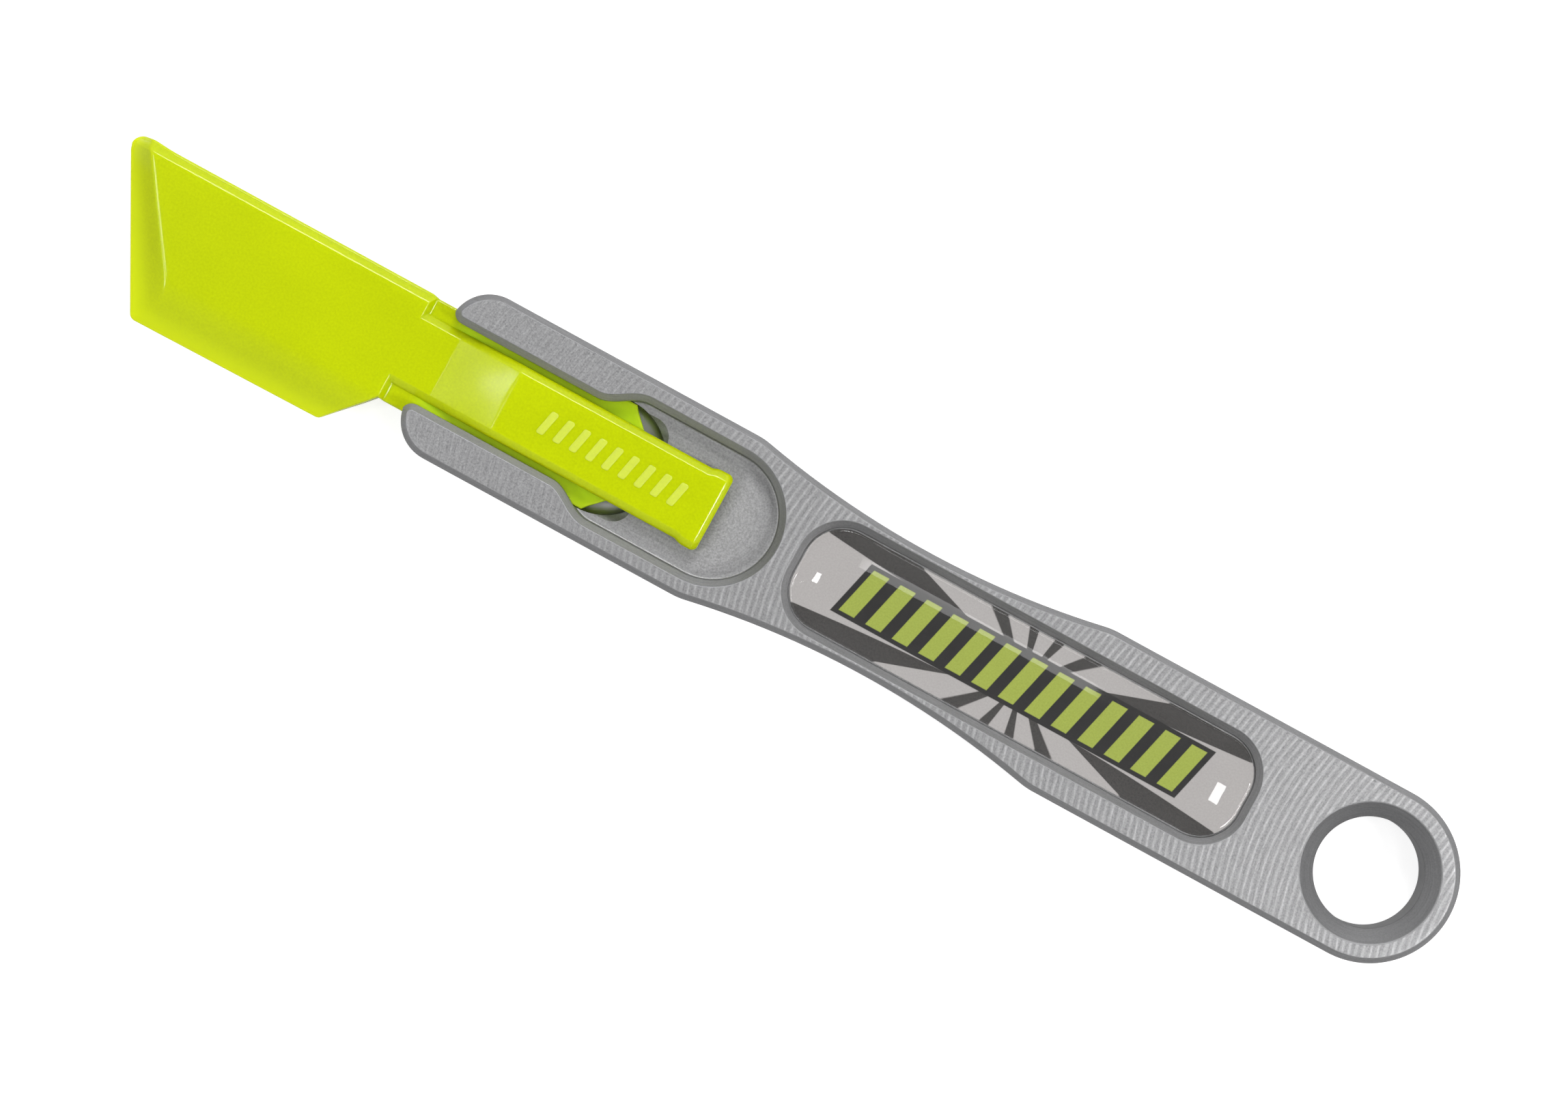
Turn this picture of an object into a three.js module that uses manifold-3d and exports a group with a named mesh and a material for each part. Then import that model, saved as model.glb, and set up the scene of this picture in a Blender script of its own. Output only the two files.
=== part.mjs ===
// Film tucking tool: a milled aluminium handle, a slide-in moulded blade with a spring clip,
// and a resin-domed label.
// Millimetres. +X runs from the blade to the finger ring, +Z out of the labelled face.
// The origin is on the handle's back face, on its centre line, under the web between the
// clip recess and the label pocket.

import * as THREE from 'three';
import { ConvexGeometry } from 'three/addons/geometries/ConvexGeometry.js';
import { mergeVertices } from 'three/addons/utils/BufferGeometryUtils.js';
import Module from 'manifold-3d';

const wasm = await Module();
wasm.setup();

// ---- Driving dimensions ----

const handle = {
  halfWidth: 12,
  thickness: 10,
  frontX: -53.5,
  frontCornerR: 5.6,
  edgeChamfer: 0.75,
  ringX: 88.6,
  waistX: 16.9,
  waistR: 127,
  waistHalfWidth: 9.26,
  waistBlendR: 10,
};

const ring = { boreR: 7.42, sinkDepth: 2.03 };

const fork = {
  lipHalfGap: 6.15,
  mouthR: 1.5,
  lipEndX: -31.6,
  recessStartX: -24.9,
  curvePull: 2.5,
  recessHalfWidth: 8.8,
  recessEndX: -10.6,
  chamfer: 0.9,
  recessFloorZ: 5.75,
};

const slot = { halfWidth: 8, endX: -27, floorZ: 3.25, ceilingZ: 6.35 };

const noseRelief = { startX: -32, endX: -20.45, halfWidth: 7.65, cornerR: 2.75, floorZ: 4.5 };

const labelPocket = { startX: 2.35, endX: 69.65, halfWidth: 7.35, cornerR: 5.65, floorZ: 8.5 };

const label = {
  clearance: 0.25,
  adhesive: 0.125,
  film: 0.25,
  domeSide: 0.5,
  domeRise: 0.9,
  domeRim: 2.7,
};

const insert = {
  bottomZ: 3.5,
  railZ: 6.1,
  topZ: 7,
  edgeZ: 4.4,
  shoulderX: -57.3,
  railHalfWidth: 7.75,
  noseX: -26.5,
  noseTipX: -20.5,
  noseTipHalfWidth: 1.7,
  spineHalfWidth: 5.25,
  spineEndX: -48.7,
};

const blade = {
  tipX: -102.8,
  tipCornerX: 1.3,
  tipCornerY: 1.45,
  backY: 7.85,
  heelX: -91.85,
  heelY: -14.45,
  heelCornerX: 0.8,
  heelCornerY: 0.55,
  rearX: -63.4,
  rearY: -14.1,
  shoulderY: -8.05,
  ridgeY: 6.7,
  ridgeZ: 6,
  ridgeEndX: -100.2,
  creaseTopX: -99.3,
  creaseHeelX: -89.2,
  creaseHeelY: -8.15,
};

const clip = {
  rampStartX: -51.1,
  rootX: -48.4,
  rampEndX: -41.9,
  endX: -10.35,
  topZ: 9.4,
  bottomZ: 7.6,
  halfWidth: 5.25,
  rootBottomZ: 6.4,
  edge: 0.4,
  beadX: -13,
  beadHalfWidth: 5.6,
  beadBottomZ: 7.3,
  beadRound: 0.5,
};

// How far a cutter runs past what it cuts, and how far a flare does.
const OVERSHOOT = 1;
const FLARE_OVERSHOOT = 0.35;
// How far one cutter reaches into the hollow left by another.
const OVERLAP = 0.1;
const ARC_STEPS = 10;
const DOME_STEPS = 4;
const MERGE_DISTANCE = 1e-5;

// ---- Materials ----

const aluminium = { color: 0xa5a5a5, roughness: 0.42, metalness: 1 };
const limePlastic = { color: 0xc8dc00, roughness: 0.38, metalness: 0 };
const adhesiveTape = { color: 0xe8e6df, roughness: 0.8, metalness: 0 };
const printedFilm = { color: 0xb5b0ae, roughness: 0.5, metalness: 0 };
const clearResin = { color: 0xd8d6d3, roughness: 0.06, metalness: 0 };

// ---- Helpers ----

function toSolid(geometry) {
  const bare = geometry.clone();
  bare.deleteAttribute('normal');
  bare.deleteAttribute('uv');
  const merged = mergeVertices(bare, MERGE_DISTANCE);
  return new wasm.Manifold(new wasm.Mesh({
    numProp: 3,
    vertProperties: new Float32Array(merged.attributes.position.array),
    triVerts: new Uint32Array(merged.index.array),
  }));
}

function namedMesh(name, solid, look) {
  const made = solid.getMesh();
  const geometry = new THREE.BufferGeometry();
  geometry.setAttribute('position', new THREE.BufferAttribute(made.vertProperties, 3));
  geometry.setIndex(new THREE.BufferAttribute(made.triVerts, 1));
  geometry.computeVertexNormals();
  const mesh = new THREE.Mesh(geometry, new THREE.MeshStandardMaterial(look));
  mesh.name = name;
  return mesh;
}

// A straight-sided plate of the outline between two heights.
function plate(outline, lowZ, highZ) {
  const settings = { depth: highZ - lowZ, bevelEnabled: false, curveSegments: ARC_STEPS };
  const geometry = new THREE.ExtrudeGeometry(outline, settings);
  geometry.translate(0, 0, lowZ);
  return toSolid(geometry);
}

// A plate whose outline is full size at mid height and drawn in by 45 degree chamfers.
function chamferedPlate(outline, lowZ, highZ, chamfer) {
  const geometry = new THREE.ExtrudeGeometry(outline, {
    depth: highZ - lowZ - 2 * chamfer,
    bevelThickness: chamfer,
    bevelSize: chamfer,
    bevelOffset: -chamfer,
    bevelSegments: 1,
    curveSegments: ARC_STEPS,
  });
  geometry.translate(0, 0, lowZ + chamfer);
  return toSolid(geometry);
}

// A cutter that starts at the outline, chamfer below the face, and flares at 45 degrees.
function edgeFlare(outline, faceZ, chamfer) {
  const flare = chamfer + FLARE_OVERSHOOT;
  const geometry = new THREE.ExtrudeGeometry(outline, {
    depth: OVERSHOOT,
    bevelThickness: flare,
    bevelSize: flare,
    bevelSegments: 1,
    curveSegments: ARC_STEPS,
  });
  geometry.translate(0, 0, faceZ - chamfer + flare);
  return toSolid(geometry);
}

function roundedRectangle(lowX, highX, halfWidth, r) {
  const shape = new THREE.Shape();
  const side = halfWidth - r;
  shape.absarc(highX - r, side, r, 0, Math.PI / 2);
  shape.absarc(lowX + r, side, r, Math.PI / 2, Math.PI);
  shape.absarc(lowX + r, -side, r, Math.PI, 1.5 * Math.PI);
  shape.absarc(highX - r, -side, r, 1.5 * Math.PI, 2 * Math.PI);
  shape.closePath();
  return shape;
}

// ---- Handle ----

// The side profile is straight, then a shallow waist arc between two blend arcs.
function handleOutline() {
  const { halfWidth, frontX, frontCornerR, ringX, waistX, waistR, waistBlendR } = handle;
  const waistY = handle.waistHalfWidth + waistR;
  const blendY = halfWidth - waistBlendR;
  const reach = Math.sqrt((waistR + waistBlendR) ** 2 - (waistY - blendY) ** 2);
  const tilt = Math.atan2(reach, waistY - blendY);
  const up = Math.PI / 2;
  const cornerX = frontX + frontCornerR;
  const cornerY = halfWidth - frontCornerR;
  const shape = new THREE.Shape();
  shape.absarc(ringX, 0, halfWidth, -up, up);
  shape.absarc(waistX + reach, blendY, waistBlendR, up, up + tilt);
  shape.absarc(waistX, waistY, waistR, -up + tilt, -up - tilt, true);
  shape.absarc(waistX - reach, blendY, waistBlendR, up - tilt, up);
  shape.absarc(cornerX, cornerY, frontCornerR, up, 2 * up);
  shape.absarc(cornerX, -cornerY, frontCornerR, 2 * up, 3 * up);
  shape.absarc(waistX - reach, -blendY, waistBlendR, -up, -up + tilt);
  shape.absarc(waistX, -waistY, waistR, up + tilt, up - tilt, true);
  shape.absarc(waistX + reach, -blendY, waistBlendR, -up - tilt, -up);
  shape.closePath();
  return shape;
}

// The gap between the lips, from the open mouth through the flare to the recess's round end.
function forkOutline() {
  const { lipHalfGap, mouthR, lipEndX, recessStartX, curvePull, recessHalfWidth } = fork;
  const mouthX = handle.frontX;
  const mouthHalf = lipHalfGap + mouthR;
  const up = Math.PI / 2;
  const shape = new THREE.Shape();
  shape.moveTo(mouthX - OVERSHOOT, -mouthHalf);
  shape.lineTo(mouthX, -mouthHalf);
  shape.absarc(mouthX + mouthR, -mouthHalf, mouthR, Math.PI, up, true);
  shape.lineTo(lipEndX, -lipHalfGap);
  shape.bezierCurveTo(
    lipEndX + curvePull, -lipHalfGap,
    recessStartX - curvePull, -recessHalfWidth,
    recessStartX, -recessHalfWidth,
  );
  shape.absarc(fork.recessEndX, 0, recessHalfWidth, -up, up);
  shape.lineTo(recessStartX, recessHalfWidth);
  shape.bezierCurveTo(
    recessStartX - curvePull, recessHalfWidth,
    lipEndX + curvePull, lipHalfGap,
    lipEndX, lipHalfGap,
  );
  shape.absarc(mouthX + mouthR, mouthHalf, mouthR, -up, -Math.PI, true);
  shape.lineTo(mouthX - OVERSHOOT, mouthHalf);
  shape.closePath();
  return shape;
}

function slotOutline() {
  const shape = new THREE.Shape();
  shape.moveTo(handle.frontX - OVERSHOOT, -slot.halfWidth);
  shape.lineTo(slot.endX, -slot.halfWidth);
  shape.absarc(slot.endX, 0, slot.halfWidth, -Math.PI / 2, Math.PI / 2);
  shape.lineTo(handle.frontX - OVERSHOOT, slot.halfWidth);
  shape.closePath();
  return shape;
}

// The finger hole: a bore with a 90 degree countersink on each face.
function ringCutter() {
  const { boreR, sinkDepth } = ring;
  const { thickness, ringX } = handle;
  const wideR = boreR + sinkDepth + OVERSHOOT;
  const profile = [
    new THREE.Vector2(0, -OVERSHOOT),
    new THREE.Vector2(wideR, -OVERSHOOT),
    new THREE.Vector2(boreR, sinkDepth),
    new THREE.Vector2(boreR, thickness - sinkDepth),
    new THREE.Vector2(wideR, thickness + OVERSHOOT),
    new THREE.Vector2(0, thickness + OVERSHOOT),
  ];
  const geometry = new THREE.LatheGeometry(profile, 4 * ARC_STEPS);
  geometry.rotateX(Math.PI / 2);
  geometry.translate(ringX, 0, 0);
  return toSolid(geometry);
}

function handleBody() {
  const { thickness, edgeChamfer } = handle;
  const above = thickness + OVERSHOOT;
  const opening = forkOutline();
  const pocket = roundedRectangle(
    labelPocket.startX, labelPocket.endX, labelPocket.halfWidth, labelPocket.cornerR);
  const relief = roundedRectangle(
    noseRelief.startX, noseRelief.endX, noseRelief.halfWidth, noseRelief.cornerR);
  return chamferedPlate(handleOutline(), 0, thickness, edgeChamfer)
    .subtract(plate(opening, fork.recessFloorZ, above))
    .subtract(edgeFlare(opening, thickness, fork.chamfer))
    .subtract(plate(slotOutline(), slot.floorZ, slot.ceilingZ))
    .subtract(plate(relief, noseRelief.floorZ, fork.recessFloorZ + OVERLAP))
    .subtract(plate(pocket, labelPocket.floorZ, above))
    .subtract(edgeFlare(pocket, thickness, fork.chamfer))
    .subtract(ringCutter());
}

// ---- Blade insert ----

// The tang that slides in the T-slot: two side rails that end in a 45 degree nose.
function tang() {
  const { railHalfWidth, noseX, noseTipX, noseTipHalfWidth, shoulderX } = insert;
  const shape = new THREE.Shape([
    new THREE.Vector2(shoulderX - OVERSHOOT, -railHalfWidth),
    new THREE.Vector2(noseX, -railHalfWidth),
    new THREE.Vector2(noseTipX, -noseTipHalfWidth),
    new THREE.Vector2(noseTipX, noseTipHalfWidth),
    new THREE.Vector2(noseX, railHalfWidth),
    new THREE.Vector2(shoulderX - OVERSHOOT, railHalfWidth),
  ]);
  return plate(shape, insert.bottomZ, insert.railZ);
}

// Height of the clip ramp's upper surface.
function rampTopZ(x) {
  const { rampStartX, rampEndX, topZ } = clip;
  return insert.topZ + (topZ - insert.topZ) * (x - rampStartX) / (rampEndX - rampStartX);
}

// The raised spine between the blade and the clip's root, which ends part way up the ramp.
function spine() {
  const { spineHalfWidth, spineEndX, shoulderX, bottomZ, topZ } = insert;
  const profile = new THREE.Shape([
    new THREE.Vector2(shoulderX - OVERSHOOT, bottomZ),
    new THREE.Vector2(spineEndX, bottomZ),
    new THREE.Vector2(spineEndX, rampTopZ(spineEndX)),
    new THREE.Vector2(clip.rampStartX, topZ),
    new THREE.Vector2(shoulderX - OVERSHOOT, topZ),
  ]);
  return acrossPlate(profile, spineHalfWidth, clip.edge);
}

// The blade thins to its front and lower edges and has a narrow bevel along its straight back.
function bladePlate() {
  const { bottomZ, edgeZ, topZ, shoulderX } = insert;
  const { tipX, backY, heelX, heelY, ridgeY, ridgeZ, creaseTopX, shoulderY } = blade;
  const outline = [
    [tipX, backY - blade.tipCornerY],
    [tipX + blade.tipCornerX, backY],
    [shoulderX, backY],
    [shoulderX, shoulderY],
    [blade.rearX, blade.rearY],
    [heelX + blade.heelCornerX, heelY],
    [heelX, heelY + blade.heelCornerY],
  ];
  const points = [];
  for (const [x, y] of outline) {
    points.push(new THREE.Vector3(x, y, bottomZ));
    points.push(new THREE.Vector3(x, y, edgeZ));
  }
  points.push(new THREE.Vector3(shoulderX, backY, ridgeZ));
  points.push(new THREE.Vector3(blade.ridgeEndX, backY, ridgeZ));
  points.push(new THREE.Vector3(shoulderX, ridgeY, topZ));
  points.push(new THREE.Vector3(creaseTopX, ridgeY, topZ));
  points.push(new THREE.Vector3(blade.creaseHeelX, blade.creaseHeelY, topZ));
  points.push(new THREE.Vector3(shoulderX, shoulderY, topZ));
  return toSolid(new ConvexGeometry(points));
}

// ---- Spring clip ----

// The clip rises along a ramp from the spine, then runs level above the tang.
function clipTongue() {
  const { rootX, rampEndX, endX, topZ, bottomZ, rootBottomZ, beadRound } = clip;
  const profile = new THREE.Shape([
    new THREE.Vector2(rootX, rampTopZ(rootX)),
    new THREE.Vector2(rootX, rootBottomZ),
    new THREE.Vector2(rampEndX, bottomZ),
    new THREE.Vector2(endX - beadRound, bottomZ),
    new THREE.Vector2(endX - beadRound, topZ),
    new THREE.Vector2(rampEndX, topZ),
  ]);
  return acrossPlate(profile, clip.halfWidth, clip.edge);
}

// The bead along the clip's free end is a little wider and deeper than the tongue.
function clipBead() {
  const { beadX, endX, topZ, beadBottomZ, beadRound } = clip;
  const profile = new THREE.Shape([
    new THREE.Vector2(beadX, topZ),
    new THREE.Vector2(beadX, beadBottomZ + beadRound),
    new THREE.Vector2(beadX + beadRound, beadBottomZ),
    new THREE.Vector2(endX - beadRound, beadBottomZ),
    new THREE.Vector2(endX, beadBottomZ + beadRound),
    new THREE.Vector2(endX, topZ - beadRound),
    new THREE.Vector2(endX - beadRound, topZ),
  ]);
  return acrossPlate(profile, clip.beadHalfWidth, clip.edge);
}

// Extrudes an XZ profile evenly to both sides of the centre line, with chamfered ends.
function acrossPlate(profile, halfWidth, edge) {
  const geometry = new THREE.ExtrudeGeometry(profile, {
    depth: 2 * (halfWidth - edge),
    bevelThickness: edge,
    bevelSize: edge,
    bevelOffset: -edge,
    bevelSegments: 1,
  });
  geometry.translate(0, 0, edge - halfWidth);
  geometry.rotateX(Math.PI / 2);
  return toSolid(geometry);
}

// ---- Label ----

function labelOutline() {
  const { startX, endX, halfWidth, cornerR } = labelPocket;
  const { clearance } = label;
  return roundedRectangle(
    startX + clearance, endX - clearance, halfWidth - clearance, cornerR - clearance);
}

// The resin dome: straight sides, then a crown that rises in a few rounded steps.
function labelDome(lowZ) {
  const geometry = new THREE.ExtrudeGeometry(labelOutline(), {
    depth: label.domeSide,
    bevelThickness: label.domeRise,
    bevelSize: label.domeRim,
    bevelOffset: -label.domeRim,
    bevelSegments: DOME_STEPS,
    curveSegments: ARC_STEPS,
  });
  geometry.translate(0, 0, lowZ);
  const below = plate(labelOutline(), lowZ - label.domeRise - OVERSHOOT, lowZ);
  return toSolid(geometry).subtract(below);
}

// ---- Assembly ----

const filmZ = labelPocket.floorZ + label.adhesive;
const domeZ = filmZ + label.film;

const group = new THREE.Group();
group.add(
  namedMesh('handle_body', handleBody(), aluminium),
  namedMesh('blade_insert', bladePlate().add(tang()).add(spine()), limePlastic),
  namedMesh('spring_clip', clipTongue().add(clipBead()), limePlastic),
  namedMesh('label_adhesive', plate(labelOutline(), labelPocket.floorZ, filmZ), adhesiveTape),
  namedMesh('label_film', plate(labelOutline(), filmZ, domeZ), printedFilm),
  namedMesh('label_dome', labelDome(domeZ), clearResin),
);

export default group;
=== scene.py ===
import math

import bmesh
import bpy
import numpy as np
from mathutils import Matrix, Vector


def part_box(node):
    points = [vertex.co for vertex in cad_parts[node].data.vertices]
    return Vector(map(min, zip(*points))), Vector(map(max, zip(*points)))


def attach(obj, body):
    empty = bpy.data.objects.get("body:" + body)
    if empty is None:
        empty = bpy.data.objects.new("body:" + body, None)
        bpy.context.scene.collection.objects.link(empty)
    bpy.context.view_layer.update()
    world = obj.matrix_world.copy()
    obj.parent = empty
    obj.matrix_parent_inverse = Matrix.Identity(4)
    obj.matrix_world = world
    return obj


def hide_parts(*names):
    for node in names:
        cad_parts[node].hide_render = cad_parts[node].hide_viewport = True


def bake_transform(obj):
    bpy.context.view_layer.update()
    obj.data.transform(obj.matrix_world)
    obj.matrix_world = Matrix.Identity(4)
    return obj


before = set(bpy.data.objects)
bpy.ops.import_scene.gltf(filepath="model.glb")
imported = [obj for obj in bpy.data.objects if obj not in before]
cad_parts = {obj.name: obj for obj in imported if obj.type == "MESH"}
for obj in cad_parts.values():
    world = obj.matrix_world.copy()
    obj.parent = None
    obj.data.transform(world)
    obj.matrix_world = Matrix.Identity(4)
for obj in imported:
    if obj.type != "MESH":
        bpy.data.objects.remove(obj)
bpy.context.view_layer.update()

# ---- Sizes, in millimetres in the row frame unless said ----

MM = 0.001

# The handle's outline. Its box comes from the frame.
TOP_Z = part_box("handle_body")[1][2] / MM
FRONT_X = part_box("handle_body")[0][0] / MM
HALF_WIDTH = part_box("handle_body")[1][1] / MM
RING_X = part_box("handle_body")[1][0] / MM - HALF_WIDTH
FRONT_CORNER_R, EDGE_CHAMFER, EDGE_BREAK = 5.6, 0.75, 0.07
WAIST_X, WAIST_R, WAIST_HALF_WIDTH, WAIST_BLEND_R = 16.9, 127, 9.26, 10
BORE_R, SINK = 7.42, 2.03

# The fork: a mouth between two lips, the clip's recess behind it, the T-slot below, and a relief
# with sloped sides around the slot's round end.
MOUTH_R, LIP_HALF_GAP, LIP_END_X, CURVE_PULL = 1.5, 6.15, -31.6, 2.5
RECESS_START_X, RECESS_END_X, RECESS_HALF_WIDTH, RECESS_FLOOR_Z = -24.9, -10.6, 8.8, 5.75
POCKET_CHAMFER, FLOOR_FILLET = 0.9, 0.35
SLOT_END_X, SLOT_HALF_WIDTH, SLOT_FLOOR_Z, SLOT_CEILING_Z, SLOT_FILLET = -27, 8, 3.25, 6.35, 1.3
RELIEF_START_X, RELIEF_END_X, RELIEF_HALF_WIDTH, RELIEF_R = -32, -20.45, 7.65, 2.75
RELIEF_FLOOR_Z, RELIEF_FILLET, RELIEF_SLOPE = 5.05, 0.4, 1.25

# The label's pocket, and its layers with heights from the frame.
LABEL_START_X, LABEL_END_X, LABEL_HALF_WIDTH, LABEL_R = 2.35, 69.65, 7.35, 5.65
LABEL_FLOOR_Z, LABEL_FILLET, LABEL_GAP, CORNER_SETTLE = 8.5, 0.2, 0.25, 1.1
TAPE_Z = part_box("label_adhesive")[0][2] / MM
FILM_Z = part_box("label_film")[0][2] / MM
DOME_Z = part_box("label_dome")[0][2] / MM
DOME_TOP_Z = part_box("label_dome")[1][2] / MM
DOME_SIDE, DOME_LIP, DOME_SAG, RESIN_LIFT = 0.45, 0.3, 0.09, 0.005

# The moulding's levels, and its outline: a slanted front from heel to tip, a rear edge up to the
# shoulder where the rails begin, and a tang with a blunt nose.
BODY_BOTTOM_Z, THIN_EDGE_Z, RAIL_Z, SPINE_Z = 3.5, 4.4, 6.1, 7.0
MOULD_EDGE_R, HEEL_R, TIP_R, REAR_R = 0.3, 0.8, 1.1, 0.7
FRONT_SLOPE, FRONT_AT_AXIS_X = 0.54, -99.4
TIP_Y, HEEL_X, HEEL_Y = 7.75, -91.6, -14.45
REAR_CORNER_X, REAR_LIFT = -63.3, 0.35
SHOULDER_X, SHOULDER_FOOT_X = -57.4, -56.4
NOSE_X, NOSE_TIP_X, NOSE_TIP_HALF = -26.5, -20.5, 1.7
SKIN_TOP_Y, SKIN_LOW_Y = TIP_Y - MOULD_EDGE_R, HEEL_Y + MOULD_EDGE_R

# How far the side edges stand off straight lines, and where that starts.
SIDE_Y, HEEL_SIDE_Y = 6.9, 9
BACK_BULGE, TIP_BULGE, TIP_BULGE_X, TIP_BULGE_LENGTH = 0.12, 0.2, -99.6, 1.6
RAIL_SHIFT, NOSE_SPREAD, NOSE_SPREAD_X = 0.13, 0.28, (-52, -32)

# The blade's upper skin: a crease behind the front facet, a fall towards the heel, a bevel along
# the back, and a raised spine that dives under the clip's ramp.
CREASE = [(-99.4, 6.5), (-89.2, -8.15), (-85.4, -13.7)]
FLARE_Y, FLARE_REACH, FLARE_POWER, FLARE_RISE = -6.8, 7.3, 1.7, 0.02
BACK_BEVEL_Y, BACK_BEVEL_SLOPE = 6.65, 0.8
FACET_BLEND, FLARE_BLEND, BACK_BLEND = 0.2, 0.1, 0.25
SPINE_FLAT_HALF, SPINE_HALF_WIDTH, SPINE_DIVE = 4.08, 5.25, 0.35

# A moulded edge from its flat to its side: a crease, a bevel and a round, as shares of its width
# and of its fall.
EDGE_SHARES = [0, 0.06, 0.13, 0.2, 0.28, 0.45, 0.66, 0.8, 0.9, 0.96, 1.0]
EDGE_FALLS = [0, 0.006, 0.03, 0.07, 0.125, 0.25, 0.42, 0.56, 0.71, 0.84, 1.0]

# Grid lines of the upper skin, closer together where it creases.
FLAT_ROWS, RAIL_ROWS = [0, 1.7, 3.6, 3.95], [5.4, 5.6, 6.5, 6.9, 7.1]
BACK_ROWS = [6.4, 6.52, 6.6, 6.66, 6.72, 6.78, 6.86, 7.0, 7.2]
FLARE_ROW_COUNT, SHOULDER_LINE_COUNT = 22, 13
TO_CREASE = [0, 0.1, 0.25, 0.42, 0.6, 0.76, 0.88, 0.94, 0.98, 1.0]
TO_SHOULDER = [0.006, 0.015, 0.03, 0.07, 0.2, 0.4, 0.6, 0.8, 0.95, 0.99, 1.0]

# The clip tongue: a crowned ramp, a flat, and a flared end with a bead below.
RAMP_START_X, RAMP_END_X, RAMP_CROWN, RAMP_BLEND = -51.1, -41.9, 0.09, 0.08
SLIT_START_X, SLIT_ROOF_Z, SLIT_RISE_END_X = -48.4, 6.4, -41.3
CLIP_END_X, CLIP_TOP_Z, CLIP_BOTTOM_Z = -10.35, 9.4, 7.6
CLIP_END_R, CLIP_END_DROP, CLIP_OVERLAP, ROOT_DEPTH = 0.85, 0.62, 0.05, 0.5
FLARE_X, FLARE_OUT = [-13.6, -12.9, -12.3], [0, 0.26, 0.35]
BEAD_X, BEAD_HEIGHT = [-13.3, -12.4], 0.3
RIB_COUNT, RIB_PITCH, RIB_FIRST_X, RIB_CORNER_R = 9, 2.45, -35.6, 0.3
RIB_HALF_WIDTH, RIB_HALF_LENGTH, RIB_SLANT, RIB_HEIGHT = 0.55, 1.75, 0.22, 0.13

# The moulding bends at the clip's root; it keeps its rest places in this attribute, for its material.
REST_PLACE = "rest_place"

# Marks on the faces, and the print on the film.
CUTTER_R, CUTTER_Y, CUTTER_PITCH = 42, 1.35, 0.95
LABEL_MID_X = (LABEL_START_X + LABEL_END_X) / 2
BAR_PITCH, BAR_HALF, BAR_OUTLINE, BAR_SLANT, BAR_TOP, BAR_LOW = 4.0, 1.15, 0.6, 0.25, 3.6, -3.1
ROW_HALF_LENGTH = 6.5 * BAR_PITCH
WEDGE_BASE, WEDGE_BOW, WEDGE_SPREAD, WEDGE_SLOPE = 3.5, 0.0017, 0.6, 0.34
RAY_COUNT, RAY_WIDTH, FAN_HALF_ANGLE = 12, 0.45, math.radians(60)

# Screen colours. Pairs run from dark to light.
FACE_GREYS = "#848485", "#d3d3d4"
WALL_GREYS, FORK_WALL_GREYS = ("#8d8d8e", "#a2a2a3"), ("#959598", "#aaaaad")
FLOOR_GREYS, FLOOR_PAINTED_LIGHT_GREY = ("#898989", "#b0b0b1"), "#b7b7ba"
LIMES, EDGE_GLOW_LIME, SHADED_LIME, RIB_LIME = ("#b1c000", "#c0cf00"), "#cedd00", "#c6f42a", "#dce66e"
TAPE_CREAMS = "#d8d5cc", "#eceae2"
FILM_GREYS, FILM_CHARCOALS, FILM_BLACK = ("#9b9896", "#a7a3a2"), ("#1c1a19", "#3b3836"), "#050202"
BAR_LIMES = "#8a9733", "#98a540"

# The stage, in metres and degrees.
CAMERA_HEIGHT, CAMERA_Y = 0.6, 0.00019
FRAME_WIDTH, TOOL_TURN = 0.2075, 28.66
SENSOR_WIDTH = 36
FLOOR_HALF = 3
SKY = [(0.0, 0.6), (0.3, 0.8), (0.6, 0.8), (0.8, 0.64), (0.93, 0.34), (1.0, 0.13)]
SKY_DIM_ALONG_X, SKY_GAIN_ALONG_Y = -0.35, 0.3


# ---- Outlines ----


def arc(cx, cy, r, start, end, step=4.0):
    """Points of an arc, angles in degrees."""
    count = max(2, round(abs(end - start) / step))
    angles = np.radians(np.linspace(start, end, count + 1))
    return [(cx + r * math.cos(a), cy + r * math.sin(a)) for a in angles]


def s_curve(x0, y0, x1, y1, pull, count=14):
    """A cubic curve that leaves and arrives along X."""
    points = []
    for t in np.linspace(0, 1, count + 1):
        a, b, c, d = (1 - t) ** 3, 3 * t * (1 - t) ** 2, 3 * t * t * (1 - t), t**3
        x = a * x0 + b * (x0 + pull) + c * (x1 - pull) + d * x1
        points.append((x, (a + b) * y0 + (c + d) * y1))
    return points


def mirrored(points):
    """The same points on the other side of the centre line, in the opposite order."""
    return [(x, -y) for x, y in reversed(points)]


def handle_outline():
    """A round ring end, a waist between two blends, and a front with rounded corners."""
    waist_y = WAIST_HALF_WIDTH + WAIST_R
    blend_y = HALF_WIDTH - WAIST_BLEND_R
    reach = math.sqrt((WAIST_R + WAIST_BLEND_R) ** 2 - (waist_y - blend_y) ** 2)
    tilt = math.degrees(math.atan2(reach, waist_y - blend_y))
    half = arc(RING_X, 0, HALF_WIDTH, 0, 90, 3)
    half += arc(WAIST_X + reach, blend_y, WAIST_BLEND_R, 90, 90 + tilt, 2)
    half += arc(WAIST_X, waist_y, WAIST_R, -90 + tilt, -90 - tilt, 1)
    half += arc(WAIST_X - reach, blend_y, WAIST_BLEND_R, 90 - tilt, 90, 2)
    half += arc(FRONT_X + FRONT_CORNER_R, HALF_WIDTH - FRONT_CORNER_R, FRONT_CORNER_R, 90, 180, 5)
    return without_repeats(half + mirrored(half))


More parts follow.
